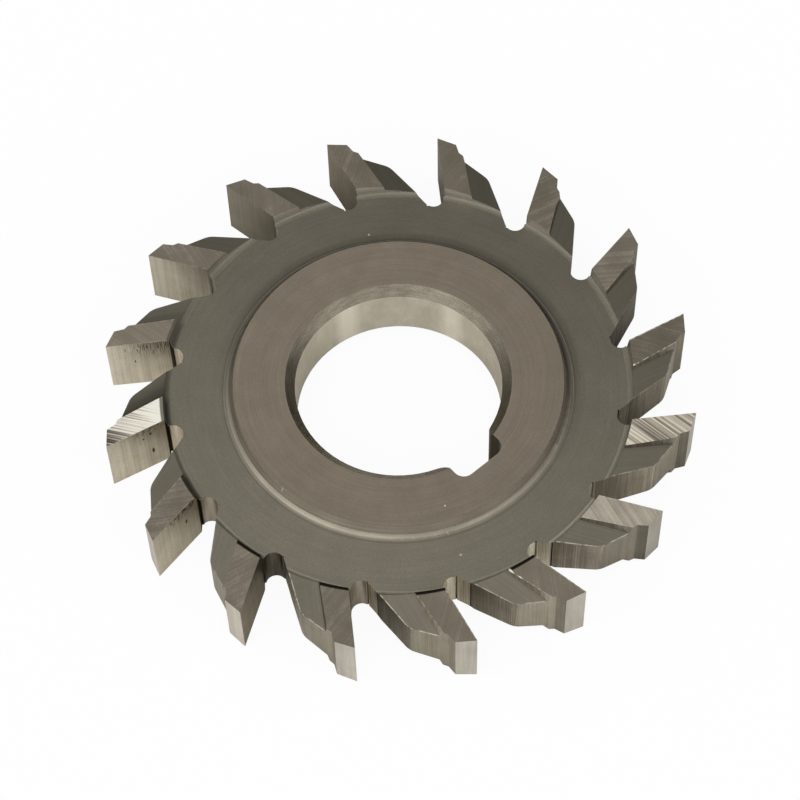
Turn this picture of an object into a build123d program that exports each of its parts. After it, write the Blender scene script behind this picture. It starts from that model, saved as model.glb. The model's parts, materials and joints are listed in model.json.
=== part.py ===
from build123d import *
from math import cos, degrees, radians, sin, sqrt, tan
import os

# A side and face cutter: one ground disc of high-speed steel with sixteen straight
# teeth, a hub ring, a turned recess in each side and a bore with a keyway.
# Millimetres. The origin is on the bore's axis, halfway through the width.
# +Z runs along the bore and +X points through the middle of the keyway.

# Disc and hub
cutter_diameter = 63.0
cutter_width = 8.0
hub_diameter = 35.0
recess_depth = 1.4
rim_diameter = 50.0

# Both walls of the recess lean a little, and end in a cove that runs into its floor.
hub_wall_angle = 20.0
hub_cove_radius = 1.0
rim_wall_angle = 9.0
rim_cove_radius = 0.8
cove_angle = 45.0

# Bore and keyway. The keyway's depth is from the bore's wall to its floor.
bore_diameter = 22.0
bore_chamfer = 1.0
key_width = 6.0
key_depth = 2.6
key_corner_radius = 1.2
key_lip_radius = 1.2

# Teeth, seen from +Z: the cutting edges face counterclockwise.
# A tooth is laid out by two distances: how far back of the radius through its tip,
# and how far out along that radius.
tooth_count = 16
first_tip_angle = -4.0
rake_angle = 14.0
land_back = 2.15
land_out = 31.02
notch_back = 2.6
notch_out = 30.0
notch_radius = 0.3
knee_back = 6.15
knee_out = 27.75
knee_radius = 2.0

# Gullet: a round floor with the low step that the grinding of the rake face leaves,
# and a fine line where the milled and the ground half of the floor meet.
gullet_floor_diameter = 46.6
gullet_radius = 1.1
rake_step = 0.14
floor_line_angle = 26.0
floor_line_width = 0.24
floor_line_depth = 0.16

# Side teeth: a land beside each rake face that falls away a little from its cutting
# edge and narrows outwards, and behind it a lower floor that falls away backwards and
# outwards. The land's width and the floor's depth are given at the rim.
side_land_width = 2.8
side_land_taper_angle = 3.0
side_land_relief_angle = 6.0
side_wall_angle = 10.0
side_floor_depth = 0.88
side_floor_back_angle = 9.0
side_floor_out_angle = 8.0
side_floor_clearance = 1.2

# How far a shape that is cut away reaches past what it cuts: outwards past the tips,
# inwards past the rim and beyond a face. The room over a tilted plane is a block.
past_tip = 2.0
past_rim = 2.0
past_face = 1.0
room_width = 30.0
room_height = 12.0
tolerance = 0.01

tip_radius = cutter_diameter / 2
bore_radius = bore_diameter / 2
hub_radius = hub_diameter / 2
rim_radius = rim_diameter / 2
half_width = cutter_width / 2
recess_level = half_width - recess_depth
key_floor = bore_radius + key_depth
pitch_angle = 360 / tooth_count
outside = tip_radius + past_tip


def at(back, out, angle):
    """Place a point given in a tooth's own distances, for the tooth whose tip is at this angle."""
    a = radians(angle)
    return Vector(out * cos(a) + back * sin(a), out * sin(a) - back * cos(a))


def rounded(before, corner, after, radius):
    """Return where an arc of this radius leaves the first side, its middle, and where it meets the second."""
    toward_first = (before - corner).normalized()
    toward_second = (after - corner).normalized()
    half_angle = radians(toward_first.get_angle(toward_second) / 2)
    middle = (toward_first + toward_second).normalized()
    reach = radius / tan(half_angle)
    centre = corner + middle * (radius / sin(half_angle))
    return corner + toward_first * reach, centre - middle * radius, corner + toward_second * reach


def on_circle(centre, direction, radius):
    """Return the point of a circle that lies in this direction from its centre."""
    return centre + direction.normalized() * radius


# Rake face and gullet circle in a tooth's own distances
rake_down = Vector(sin(radians(rake_angle)), -cos(radians(rake_angle)))
rake_out = Vector(-cos(radians(rake_angle)), -sin(radians(rake_angle)))
circle_distance = gullet_floor_diameter / 2 + gullet_radius
circle_offset = gullet_radius + rake_step
tip_own = Vector(0, tip_radius)
start = tip_own + rake_out * circle_offset
along = -start.dot(rake_down) - sqrt(start.dot(rake_down) ** 2 - start.dot(start) + circle_distance ** 2)
gullet_centre = start + rake_down * along
rake_foot = tip_own + rake_down * along
gullet_end = rake_foot + rake_out * rake_step


def tooth_edges(angle):
    """Return the outline from one tip, over its back and through the gullet, to the next tip."""
    next_angle = angle - pitch_angle
    tip = at(0, tip_radius, angle)
    land_end = at(land_back, land_out, angle)
    notch = at(notch_back, notch_out, angle)
    knee = at(knee_back, knee_out, angle)
    next_tip = at(0, tip_radius, next_angle)
    next_foot = at(rake_foot.X, rake_foot.Y, next_angle)
    floor_end = at(gullet_end.X, gullet_end.Y, next_angle)
    centre = at(gullet_centre.X, gullet_centre.Y, next_angle)

    # The back of the tooth runs from the knee as a tangent to the gullet circle.
    to_knee = knee - centre
    swing = Vector(-to_knee.Y, to_knee.X)
    share = gullet_radius / to_knee.length
    back_end = centre + to_knee * share ** 2 + swing * share * sqrt(1 - share ** 2)

    # The fine line in the floor is turned from the gullet's lowest point towards the back.
    lowest = Vector(0, 0) - centre
    line = lowest.rotate(Axis.Z, -floor_line_angle)
    half_line = degrees(floor_line_width / 2 / gullet_radius)
    line_start = on_circle(centre, line.rotate(Axis.Z, -half_line), gullet_radius)
    line_bottom = on_circle(centre, line, gullet_radius + floor_line_depth)
    line_end = on_circle(centre, line.rotate(Axis.Z, half_line), gullet_radius)
    back_middle = on_circle(centre, (back_end - centre) + (line_start - centre), gullet_radius)
    floor_middle = on_circle(centre, (line_end - centre) + (floor_end - centre), gullet_radius)

    notch_in, notch_middle, notch_out_ = rounded(land_end, notch, knee, notch_radius)
    knee_in, knee_middle, knee_out_ = rounded(notch, knee, back_end, knee_radius)
    return [
        Line(tip, land_end),
        Line(land_end, notch_in),
        ThreePointArc(notch_in, notch_middle, notch_out_),
        Line(notch_out_, knee_in),
        ThreePointArc(knee_in, knee_middle, knee_out_),
        Line(knee_out_, back_end),
        ThreePointArc(back_end, back_middle, line_start),
        Line(line_start, line_bottom),
        Line(line_bottom, line_end),
        ThreePointArc(line_end, floor_middle, floor_end),
        Line(floor_end, next_foot),
        Line(next_foot, next_tip),
    ]


def milled_disc():
    """Return the full-width disc with its sixteen gullets milled through."""
    edges = []
    for k in range(tooth_count):
        edges += tooth_edges(first_tip_angle - k * pitch_angle)
    return extrude(make_face(Wire(edges)), amount=half_width, both=True)


def recess_wall(top_radius, side, out, wall_angle, cove_radius):
    """Return the leaning wall and the cove from a top edge down to the recess floor, and the floor's start."""
    # A radius grows by out times a distance: 1 for the hub's wall, and -1 for the rim's.
    wall_depth = recess_depth - cove_radius * (1 - cos(radians(cove_angle)))
    foot_radius = top_radius + out * wall_depth * tan(radians(wall_angle))
    floor_radius = foot_radius + out * cove_radius * sin(radians(cove_angle))
    centre_level = recess_level + cove_radius
    half_angle = radians(cove_angle / 2)
    top = Vector(top_radius, side * half_width)
    foot = Vector(foot_radius, side * (half_width - wall_depth))
    middle = Vector(
        floor_radius - out * cove_radius * sin(half_angle),
        side * (centre_level - cove_radius * cos(half_angle)),
    )
    floor = Vector(floor_radius, side * recess_level)
    return [Line(top, foot), ThreePointArc(foot, middle, floor)], floor


def turned_blank():
    """Return the turned shape: hub ring, recess and rim, the same on both sides."""
    edges = []
    for side in (1, -1):
        hub_wall, floor_start = recess_wall(hub_radius, side, 1, hub_wall_angle, hub_cove_radius)
        rim_wall, floor_end = recess_wall(rim_radius, side, -1, rim_wall_angle, rim_cove_radius)
        edges += [
            Line(Vector(0, side * half_width), Vector(hub_radius, side * half_width)),
            *hub_wall,
            Line(floor_start, floor_end),
            *rim_wall,
            Line(Vector(rim_radius, side * half_width), Vector(outside, side * half_width)),
        ]
    edges.append(Line(Vector(0, -half_width), Vector(0, half_width)))
    edges.append(Line(Vector(outside, -half_width), Vector(outside, half_width)))
    section = Plane.XZ * make_face(Wire(edges))
    return revolve(section, Axis.Z)


def beyond(point, normal):
    """Return the room on one side of a tilted plane through a point, as a large block standing on it."""
    room = Box(room_width, room_width, room_height, align=(Align.CENTER, Align.CENTER, Align.MIN))
    return Plane(origin=point, z_dir=normal) * room


def side_cuts():
    """Return what is ground off the first tooth's upper side: a little of its land, and the floor behind."""
    angle = first_tip_angle
    high = half_width + past_face
    to_rim = (tip_radius - rim_radius) / cos(radians(rake_angle))
    up = Vector(0, 0, 1)
    outwards = at(0, 1, angle)
    backwards = at(1, 0, angle)
    rake_side = at(rake_down.X, rake_down.Y, angle)
    from_rake = at(-rake_out.X, -rake_out.Y, angle)

    # The land falls away from the cutting edge, so the room ground off above it is thin.
    tip = at(0, tip_radius, angle)
    land_fall = tan(radians(side_land_relief_angle))
    tip_top = tip + up * half_width
    land = beyond(tip_top, up + from_rake * land_fall)
    tip_inner = tip + rake_side * (to_rim + past_rim)
    tip_outer = tip - rake_side * past_tip
    wide = from_rake * (side_land_width + past_face)
    land_plan = make_face(Polyline(tip_inner, tip_outer, tip_outer + wide, tip_inner + wide, close=True))

    # The land's back edge starts at its full width, where the land meets the rim.
    edge_foot = tip + rake_side * to_rim + from_rake * side_land_width
    edge_run = rake_side.rotate(Axis.Z, side_land_taper_angle)
    edge_back = from_rake.rotate(Axis.Z, side_land_taper_angle)
    edge_top = edge_foot + up * (half_width - side_land_width * land_fall)
    lean = radians(side_wall_angle)
    wall = beyond(edge_top, edge_back * cos(lean) + up * sin(lean))
    floor_point = edge_foot + up * (half_width - side_floor_depth)
    back_fall = tan(radians(side_floor_back_angle))
    out_fall = tan(radians(side_floor_out_angle))
    floor = beyond(floor_point, up + backwards * back_fall + outwards * out_fall)

    # The floor ends in the open gullet, short of the next rake face.
    next_angle = angle - pitch_angle
    next_foot = at(rake_foot.X, rake_foot.Y, next_angle)
    next_tip = at(0, tip_radius, next_angle)
    clearance = at(rake_out.X, rake_out.Y, next_angle) * side_floor_clearance
    far_out = next_tip + (next_tip - next_foot).normalized() * past_tip + clearance
    far_in = next_foot + clearance
    gullet = at(gullet_centre.X, gullet_centre.Y, next_angle)
    near_in = edge_foot + edge_run * past_rim - edge_back * past_face
    near_out = edge_foot - edge_run * (to_rim + past_tip) - edge_back * past_face
    floor_plan = make_face(Polyline(near_in, near_out, far_out, far_in, gullet, close=True))
    return [extrude(land_plan, amount=high) & land, extrude(floor_plan, amount=high) & floor & wall]


def bore_and_keyway():
    """Return what is cut through the hub: the bore, its chamfers and the keyway with rounded corners."""
    slot = Pos(key_floor / 2, 0) * Rectangle(key_floor, key_width)
    opening = Circle(bore_radius) + slot
    corners = opening.vertices().filter_by(lambda v: v.X > key_floor - tolerance)
    opening = fillet(corners, key_corner_radius)
    on_slot_side = opening.vertices().filter_by(lambda v: abs(abs(v.Y) - key_width / 2) < tolerance)
    lips = on_slot_side.filter_by(lambda v: 0 < v.X < bore_radius)
    opening = fillet(lips, key_lip_radius)
    cut = extrude(opening, amount=half_width + past_face, both=True)
    start_radius = bore_radius - past_face
    start_level = half_width - bore_chamfer - past_face
    end_level = half_width + past_face
    end_radius = bore_radius + bore_chamfer + past_face
    cone_section = Plane.XZ * make_face(Polyline(
        (0, start_level), (start_radius, start_level), (end_radius, end_level), (0, end_level), close=True
    ))
    cone = revolve(cone_section, Axis.Z)
    return [cut, cone, mirror(cone, about=Plane.XY)]


cutter = milled_disc() & turned_blank()
upper_cuts = side_cuts()
lower_cuts = [mirror(cut, about=Plane.XY) for cut in upper_cuts]
for k in range(tooth_count):
    turn = Rot(0, 0, -k * pitch_angle)
    cutter = cutter - [turn * cut for cut in upper_cuts + lower_cuts]
cutter = cutter - bore_and_keyway()

os.makedirs("parts", exist_ok=True)
solids = cutter.solids()
print("solids", len(solids), "volume", round(cutter.volume, 1), "faces", len(cutter.faces()))
print("size", cutter.bounding_box().size)
export_step(solids[0], "parts/cutter.step")
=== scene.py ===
"""A side and face cutter of high-speed steel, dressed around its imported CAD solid.

The frame is in metres, with +Z along the bore and +X through the keyway, and the cutter lies flat
on a pale floor. Sizes in this script are in millimetres and angles in degrees.
"""

import json
import logging
import math
from dataclasses import dataclass, field
from enum import Enum
from typing import Any

import bmesh
import bpy
import numpy as np
from mathutils import Matrix, Vector

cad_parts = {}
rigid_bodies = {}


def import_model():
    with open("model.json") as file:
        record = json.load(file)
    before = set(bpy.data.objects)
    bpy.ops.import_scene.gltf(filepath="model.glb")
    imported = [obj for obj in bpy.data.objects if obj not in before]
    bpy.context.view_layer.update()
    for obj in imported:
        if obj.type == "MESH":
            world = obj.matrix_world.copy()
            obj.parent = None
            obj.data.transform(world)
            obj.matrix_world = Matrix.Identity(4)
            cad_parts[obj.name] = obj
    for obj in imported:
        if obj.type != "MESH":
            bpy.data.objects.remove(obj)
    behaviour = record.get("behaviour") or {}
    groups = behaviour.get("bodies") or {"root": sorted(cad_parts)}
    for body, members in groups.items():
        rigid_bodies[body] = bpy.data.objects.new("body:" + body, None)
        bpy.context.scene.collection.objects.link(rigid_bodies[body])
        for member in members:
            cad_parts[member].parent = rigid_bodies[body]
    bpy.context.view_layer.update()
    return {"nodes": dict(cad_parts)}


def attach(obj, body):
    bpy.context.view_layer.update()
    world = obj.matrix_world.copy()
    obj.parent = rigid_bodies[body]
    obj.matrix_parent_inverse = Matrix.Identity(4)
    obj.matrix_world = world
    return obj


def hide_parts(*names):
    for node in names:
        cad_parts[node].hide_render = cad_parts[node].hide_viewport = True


log = logging.getLogger("cutter")

MM = 0.001
Socket = bpy.types.NodeSocket
Tree = bpy.types.NodeTree
Pair = tuple[float, float]
Triple = tuple[float, float, float]
Edge = tuple[Pair, Pair]
Rise = tuple[Socket, float, float]
PerTooth = dict[int, float]

# The radius where the way round the axis is measured, and the step from one tooth's part of a
# pattern to the next one's, both in millimetres.
MIDDLE_RADIUS = 20.0
TOOTH_STEP = 41.0

# The lit side, towards which the turned faces are painted lighter, in degrees from +X towards +Y.
LIT_SIDE = -55.0

# Colours: a burr's bright line, partly a painted edge highlight; dark tool lines and painted shade; burns;
# bright nicked spots and painted highlights.
BURR_AND_EDGE_HIGHLIGHT = "e6dfd0"
DARK_LINE_AND_SHADE = "1c1914"
BURNT = "2a2620"
NICK_AND_HIGHLIGHT = "efe9d8"


class Zone(Enum):
    """The surfaces of the cutter that are machined and finished in different ways."""

    HUB_FACE = "hub_face"
    RECESS_WALL = "recess_wall"
    COVE = "cove"
    RIM_WALL = "rim_wall"
    RIM_COVE = "rim_cove"
    WEB = "web"
    SIDE_LAND = "side_land"
    SIDE_FLOOR = "side_floor"
    FLOOR_WALL = "floor_wall"
    RAKE = "rake"
    TIP_LAND = "tip_land"
    TOOTH_BACK = "tooth_back"
    NOTCH = "notch"
    FLANK = "flank"
    GULLET = "gullet"
    BORE = "bore"
    CHAMFER = "chamfer"
    KEYWAY = "keyway"


ZONES = list(Zone)
UPRIGHT = (Zone.FLOOR_WALL, Zone.RAKE, Zone.TIP_LAND, Zone.TOOTH_BACK, Zone.NOTCH, Zone.FLANK, Zone.GULLET)
ON_TOOTH = (Zone.SIDE_LAND, Zone.SIDE_FLOOR, Zone.RIM_COVE, *UPRIGHT)


def linear(colour: str) -> tuple[float, float, float, float]:
    """Turn an sRGB hex value into linear light.

    Args:
        colour: six hex digits, red first.

    Returns:
        Linear red, green, blue and an alpha of one.
    """
    parts = [int(colour[i : i + 2], 16) / 255 for i in (0, 2, 4)]
    light = [c / 12.92 if c <= 0.04045 else ((c + 0.055) / 1.055) ** 2.4 for c in parts]
    return (light[0], light[1], light[2], 1.0)


def add_node(
    tree: Tree,
    kind: str,
    settings: dict[str | int, Any] | None = None,
    links: dict[str | int, Socket] | None = None,
) -> bpy.types.Node:
    """Add a node with its settings and links.

    Args:
        tree: the node tree that gets it.
        kind: Blender's name for the node type.
        settings: attributes by name, and input values by input name or number.
        links: output sockets by the input name or number that they feed.

    Returns:
        The new node.
    """
    node = tree.nodes.new(kind)
    for name, value in (settings or {}).items():
        if isinstance(name, str) and hasattr(node, name):
            setattr(node, name, value)
        else:
            node.inputs[name].default_value = value
    for name, source in (links or {}).items():
        tree.links.new(source, node.inputs[name])
    return node


@dataclass(frozen=True)
class Finish:
    """A machined steel surface: its colour, how rough it is, and the marks of its tool.

    The marks are noise stretched along one line of a pattern space in millimetres: spacing is the
    distance between two marks, run is the length of one, and angle turns them, in degrees. Four
    layers add up to one level, which picks the colour between dark and light: the marks, wider
    bands of them, soft stains and grain. Relief is how far the marks stand out, in millimetres,
    unevenness is how much the stains change the roughness, and grazing is the colour of what is
    mirrored at a flat angle. Over that lie single traces, where a finish has them:

    - spots are long pits or chips of one colour, each with its place, tooth and two half sizes
    - burns are dark patches and streaks on a rake
    - edge_line is the bright line of a burred edge, partly painted highlight, with painted shade at the rim
    - lines and strip are the lines that a cutter left, and a painted highlight on the strip past the first
    - corner is how much painted shade darkens the hub's corner
    - rings are thin rings of painted highlight and shade round the axis, each with its radius,
      half its width and a factor
    - nicks are bright marks, each with its angle in degrees, radius, reach and share: small
      nicked spots, and on the bore two wide painted highlights
    """

    name: str
    colour: str
    dark: str
    light: str
    roughness: float
    spacing: float
    run: float
    angle: float = 0.0
    marks: float = 0.2
    bands: float = 0.1
    stain: float = 0.06
    grain: float = 0.06
    relief: float = 0.003
    unevenness: float = 0.03
    spots: tuple[tuple[float, float, int, float, float], ...] = ()
    spot_colour: str = BURNT
    grazing: str = "ece8e0"
    burns: bool = False
    edge_line: bool = False
    lines: tuple[Pair, ...] = ()
    strip: bool = False
    corner: float = 0.0
    rings: tuple[Triple, ...] = ()
    nicks_and_highlights: tuple[tuple[float, float, float, float], ...] = ()

    def make(self) -> bpy.types.Material:
        """Build the finish as a Blender material: the tooled steel, then its single traces.

        Returns:
            The material.
        """
        material = bpy.data.materials.new(self.name)
        material.use_nodes = True
        tree = material.node_tree
        tree.nodes.clear()
        colour, lines, clouds = self.tooled(tree)
        traces = (
            (self.edge_line, self.edged),
            (self.lines, self.lined),
            (self.burns, self.burnt),
            (self.spots, self.spotted),
            (self.corner, self.shaded),
            (self.rings, self.ringed),
            (self.nicks_and_highlights, self.brightened),
        )
        for wanted, add_trace in traces:
            if wanted:
                colour = add_trace(tree, colour)
        bump = add_node(
            tree, "ShaderNodeBump", {"Strength": 0.5, "Distance": self.relief * MM}, {"Height": lines}
        )
        roughness = add_node(
            tree,
            "ShaderNodeMapRange",
            {
                "From Min": 0.35,
                "From Max": 0.65,
                "To Min": self.roughness + self.unevenness,
                "To Max": self.roughness - self.unevenness,
            },
            {"Value": clouds},
        )
        shader = add_node(
            tree,
            "ShaderNodeBsdfPrincipled",
            {"Metallic": 1.0, "Specular Tint": linear(self.grazing)},
            {"Base Color": colour, "Roughness": roughness.outputs[0], "Normal": bump.outputs["Normal"]},
        )
        add_node(tree, "ShaderNodeOutputMaterial", links={"Surface": shader.outputs[0]})
        return material

    def place(self, tree: Tree) -> Socket:
        """Return the pattern space of a tooth's faces: back, out and up, or up and along."""
        return add_node(tree, "ShaderNodeAttribute", {"attribute_name": "tooth_place"}).outputs["Vector"]

    def parts(self, tree: Tree, name: str) -> list[Socket]:
        """Return the three values that the mesh carries under a name."""
        vector = add_node(tree, "ShaderNodeAttribute", {"attribute_name": name}).outputs["Vector"]
        return list(add_node(tree, "ShaderNodeSeparateXYZ", links={0: vector}).outputs)

    def layer(
        self, tree: Tree, place: Socket, size: Triple, weight: float, detail: float
    ) -> tuple[Socket, Socket]:
        """Add one layer of noise.

        Args:
            tree: the material's node tree.
            place: the pattern space, already turned.
            size: how far the noise reaches along each axis, in millimetres.
            weight: how much of the way from dark to light the layer moves the colour.
            detail: octaves of the noise.

        Returns:
            The noise itself, and its part of the level.
        """
        scaled = add_node(
            tree, "ShaderNodeVectorMath", {"operation": "MULTIPLY", 1: tuple(1 / s for s in size)}, {0: place}
        )
        noise = add_node(
            tree,
            "ShaderNodeTexNoise",
            {"Scale": 1.0, "Detail": detail, "Roughness": 0.6},
            {"Vector": scaled.outputs[0]},
        )
        part = add_node(
            tree,
            "ShaderNodeMapRange",
            {"clamp": False, "From Min": 0.3, "From Max": 0.7, "To Min": -weight, "To Max": weight},
            {"Value": noise.outputs["Fac"]},
        )
        return noise.outputs["Fac"], part.outputs[0]

    def tooled(self, tree: Tree) -> tuple[Socket, Socket, Socket]:
        """Add up the four layers, and pick the colour by their level and by the look the mesh carries.

        The marks and bands are made stronger by the look's second value. The look's first value is
        added to the level, where a half is the middle colour, and the third scales the colour. Beside
        a random tone, the look carries painted glints, highlights, reflections and shade.

        Args:
            tree: the material's node tree.

        Returns:
            The colour, the noise of the marks and the noise of the stains.
        """
        band_run, band_spacing = 1.7, 4.3
        stain_size, grain_size = 3.1, 0.14
        place = add_node(
            tree,
            "ShaderNodeVectorRotate",
            {"rotation_type": "Z_AXIS", "Angle": -math.radians(self.angle)},
            {"Vector": self.place(tree)},
        ).outputs[0]
        lighter, stronger, factor = self.parts(tree, "tooth_look")
        fine = (self.run, self.spacing, self.run)
        wide = (self.run * band_run, self.spacing * band_spacing, self.run * band_run)
        lines, line_part = self.layer(tree, place, fine, self.marks, 2.0)
        _, band_part = self.layer(tree, place, wide, self.bands, 2.0)
        clouds, stain_part = self.layer(tree, place, (stain_size,) * 3, self.stain, 3.0)
        _, grain_part = self.layer(tree, place, (grain_size,) * 3, self.grain, 1.0)
        both = add_node(tree, "ShaderNodeMath", {"operation": "ADD"}, {0: line_part, 1: band_part})
        strength = add_node(tree, "ShaderNodeMath", {"operation": "ADD", 1: 1.0}, {0: stronger})
        level = add_node(
            tree, "ShaderNodeMath", {"operation": "MULTIPLY"}, {0: both.outputs[0], 1: strength.outputs[0]}
        ).outputs[0]
        for part in (stain_part, grain_part, lighter):
            level = add_node(tree, "ShaderNodeMath", {"operation": "ADD"}, {0: level, 1: part}).outputs[0]
        share = add_node(tree, "ShaderNodeMath", {"operation": "ADD", 1: 0.5, "use_clamp": True}, {0: level})
        ramp = add_node(tree, "ShaderNodeValToRGB", links={"Fac": share.outputs[0]})
        ramp.color_ramp.elements[0].color = linear(self.dark)
        ramp.color_ramp.elements[1].color = linear(self.light)
        ramp.color_ramp.elements.new(0.5).color = linear(self.colour)
        colour = add_node(
            tree, "ShaderNodeVectorMath", {"operation": "SCALE"}, {0: ramp.outputs["Color"], "Scale": factor}
        )
        return colour.outputs[0], lines, clouds

    def share(self, tree: Tree, *rises: Rise) -> Socket:
        """Multiply how far some values have come, each counted from zero to one.

        Args:
            tree: the material's node tree.
            rises: each a value, where its count is zero and where it is one.

        Returns:
            The product.
        """
        counts = []
        for value, start, end in rises:
            limits = {"From Min": start, "From Max": end}
            counts.append(add_node(tree, "ShaderNodeMapRange", limits, {"Value": value}).outputs[0])
        product = counts[0]
        for count in counts[1:]:
            both = add_node(tree, "ShaderNodeMath", {"operation": "MULTIPLY"}, {0: product, 1: count})
            product = both.outputs[0]
        return product

    def painted(
        self, tree: Tree, colour: Socket, paint: str, amount: Socket | None, *rises: Rise
    ) -> Socket:
        """Lay a paint over the colour by an amount times the share of some values.

        Args:
            tree: the material's node tree.
            colour: the colour so far.
            paint: the paint, six hex digits.
            amount: how much the paint covers at most, or nothing for all of it.
            rises: each a value, where the paint starts and where it covers.

        Returns:
            The new colour.
        """
        share = self.share(tree, *rises)
        if amount is not None:
            part = add_node(tree, "ShaderNodeMath", {"operation": "MULTIPLY"}, {0: share, 1: amount})
            share = part.outputs[0]
        return add_node(
            tree, "ShaderNodeMix", {"data_type": "RGBA", 7: linear(paint)}, {0: share, 6: colour}
        ).outputs[2]

    def spotted(self, tree: Tree, colour: Socket) -> Socket:
        """Add long pits or chips, each an ellipse in the pattern space of its tooth.

        Args:
            tree: the material's node tree.
            colour: the colour so far.

        Returns:
            The colour with them.
        """
        bare, full = 1.5, 0.7
        place = self.place(tree)
        for x, y, tooth, half_x, half_y in self.spots:
            middle, size = (x, y, TOOTH_STEP * tooth), (half_x, half_y, 1.0)
            apart = add_node(tree, "ShaderNodeVectorMath", {"operation": "SUBTRACT", 1: middle}, {0: place})
            scaled = add_node(
                tree, "ShaderNodeVectorMath", {"operation": "DIVIDE", 1: size}, {0: apart.outputs[0]}
            )
            far = add_node(tree, "ShaderNodeVectorMath", {"operation": "LENGTH"}, {0: scaled.outputs[0]})
            colour = self.painted(tree, colour, self.spot_colour, None, (far.outputs["Value"], bare, full))
        return colour

    def burnt(self, tree: Tree, colour: Socket) -> Socket:
        """Darken patches along a rake's upper edge, and streaks from there towards its root.

        Each kind has the size of its patches in millimetres, the heights between which it fades in,
        and the values of a noise between which a patch does. None starts near the tip.

        Args:
            tree: the material's node tree.
            colour: the colour so far.

        Returns:
            The colour with them.
        """
        below_tip = (-26.4, -24.6)
        up, along, _ = self.parts(tree, "tooth_place")
        edge, _, root = self.parts(tree, "tooth_wear")
        place = self.place(tree)
        for size, heights, patchy, amount in (
            ((0.7, 0.4, 1.0), (2.3, 3.7), (0.46, 0.58), edge),
            ((1.3, 0.1, 1.0), (0.6, 3.2), (0.46, 0.62), root),
        ):
            scaled = add_node(tree, "ShaderNodeVectorMath", {"operation": "DIVIDE", 1: size}, {0: place})
            noise = add_node(
                tree, "ShaderNodeTexNoise", {"Scale": 1.0, "Detail": 3.0}, {"Vector": scaled.outputs[0]}
            ).outputs["Fac"]
            colour = self.painted(
                tree, colour, BURNT, amount, (up, *heights), (along, *below_tip), (noise, *patchy)
            )
        return colour

    def edged(self, tree: Tree, colour: Socket) -> Socket:
        """Add the bright broken line of a burred edge, and painted shade where a land meets the rim.

        The burred edge's line lies within a tenth of a millimetre of the nearer of two edges and comes
        and goes with a noise; it is partly a painted edge highlight. The painted shade darkens the
        first third of a millimetre outside the rim's radius. A land with a painted glint is also
        cooler in colour.

        Args:
            tree: the material's node tree.
            colour: the colour so far.

        Returns:
            The colour with them.
        """
        burr_fade, burr_breaks, rim_shade_fade = (0.13, 0.05), (0.4, 0.58), (0.38, 0.26)
        cooler = (0.97, 1.04, 1.24)
        edges = add_node(tree, "ShaderNodeAttribute", {"attribute_name": "tooth_edges"}).outputs["Vector"]
        first, second, out = self.parts(tree, "tooth_edges")
        burr_and_highlight, rim_shade, glint_share = self.parts(tree, "tooth_wear")
        nearer = add_node(tree, "ShaderNodeMath", {"operation": "MINIMUM"}, {0: first, 1: second}).outputs[0]
        lumps = add_node(tree, "ShaderNodeTexNoise", {"Scale": 2.4, "Detail": 3.0}, {"Vector": edges})
        # Painted glint: a cooler colour on a land that catches the light.
        glint_colour = add_node(tree, "ShaderNodeVectorMath", {"operation": "MULTIPLY", 1: cooler}, {0: colour})
        colour = add_node(
            tree, "ShaderNodeMix", {"data_type": "RGBA"}, {0: glint_share, 6: colour, 7: glint_colour.outputs[0]}
        ).outputs[2]
        # The burred edge's bright line, partly a painted edge highlight.
        colour = self.painted(
            tree, colour, BURR_AND_EDGE_HIGHLIGHT, burr_and_highlight, (nearer, *burr_fade), (lumps.outputs["Fac"], *burr_breaks)
        )
        # Painted shade: a dark line where a land meets the rim.
        return self.painted(tree, colour, DARK_LINE_AND_SHADE, rim_shade, (out, *rim_shade_fade))

    def lined(self, tree: Tree, colour: Socket) -> Socket:
        """Darken the lines that a cutter left across the outline, and paint a highlight on what it cut.

        Each line is given by where along the outline it starts and ends. What was cut is the strip
        past the first line, painted brighter as a highlight. The mesh carries how bright and how dark
        they are on each tooth.

        Args:
            tree: the material's node tree.
            colour: the colour so far.

        Returns:
            The colour with them.
        """
        line_soft, strip_soft = 0.07, 0.06
        _, along, _ = self.parts(tree, "tooth_place")
        factor, strength, _ = self.parts(tree, "tooth_wear")
        if self.strip:
            end = self.lines[0][1]
            bright = add_node(
                tree,
                "ShaderNodeMapRange",
                {"From Min": end, "From Max": end + strip_soft, "To Min": 1.0},
                {"Value": along, "To Max": factor},
            )
            colour = add_node(
                tree, "ShaderNodeVectorMath", {"operation": "SCALE"}, {0: colour, "Scale": bright.outputs[0]}
            ).outputs[0]
        for start, end in self.lines:
            colour = self.painted(
                tree, colour, DARK_LINE_AND_SHADE, strength, (along, start - line_soft, start), (along, end + line_soft, end)
            )
        return colour

    def shaded(self, tree: Tree, colour: Socket) -> Socket:
        """Paint shade into the corner outside the hub, most on the side opposite the lit one.

        The painted shade is one less the corner's amount times two counts: one from the radius, and
        one from the cosine of the angle to the dark side.

        Args:
            tree: the material's node tree.
            colour: the colour so far.

        Returns:
            The shaded colour.
        """
        radii, cosines = (19.8, 18.8), (-0.3, 0.4)
        dark_side = math.radians(LIT_SIDE + 180)
        way, out, _ = add_node(tree, "ShaderNodeSeparateXYZ", links={0: self.place(tree)}).outputs
        turn = add_node(tree, "ShaderNodeMath", {"operation": "DIVIDE", 1: MIDDLE_RADIUS}, {0: way})
        apart = add_node(
            tree, "ShaderNodeMath", {"operation": "SUBTRACT", 1: dark_side}, {0: turn.outputs[0]}
        )
        side = add_node(tree, "ShaderNodeMath", {"operation": "COSINE"}, {0: apart.outputs[0]})
        near = self.share(tree, (out, *radii), (side.outputs[0], *cosines))
        kept = add_node(
            tree, "ShaderNodeMath", {"operation": "MULTIPLY_ADD", 1: -self.corner, 2: 1.0}, {0: near}
        )
        return add_node(
            tree, "ShaderNodeVectorMath", {"operation": "SCALE"}, {0: colour, "Scale": kept.outputs[0]}
        ).outputs[0]

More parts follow.
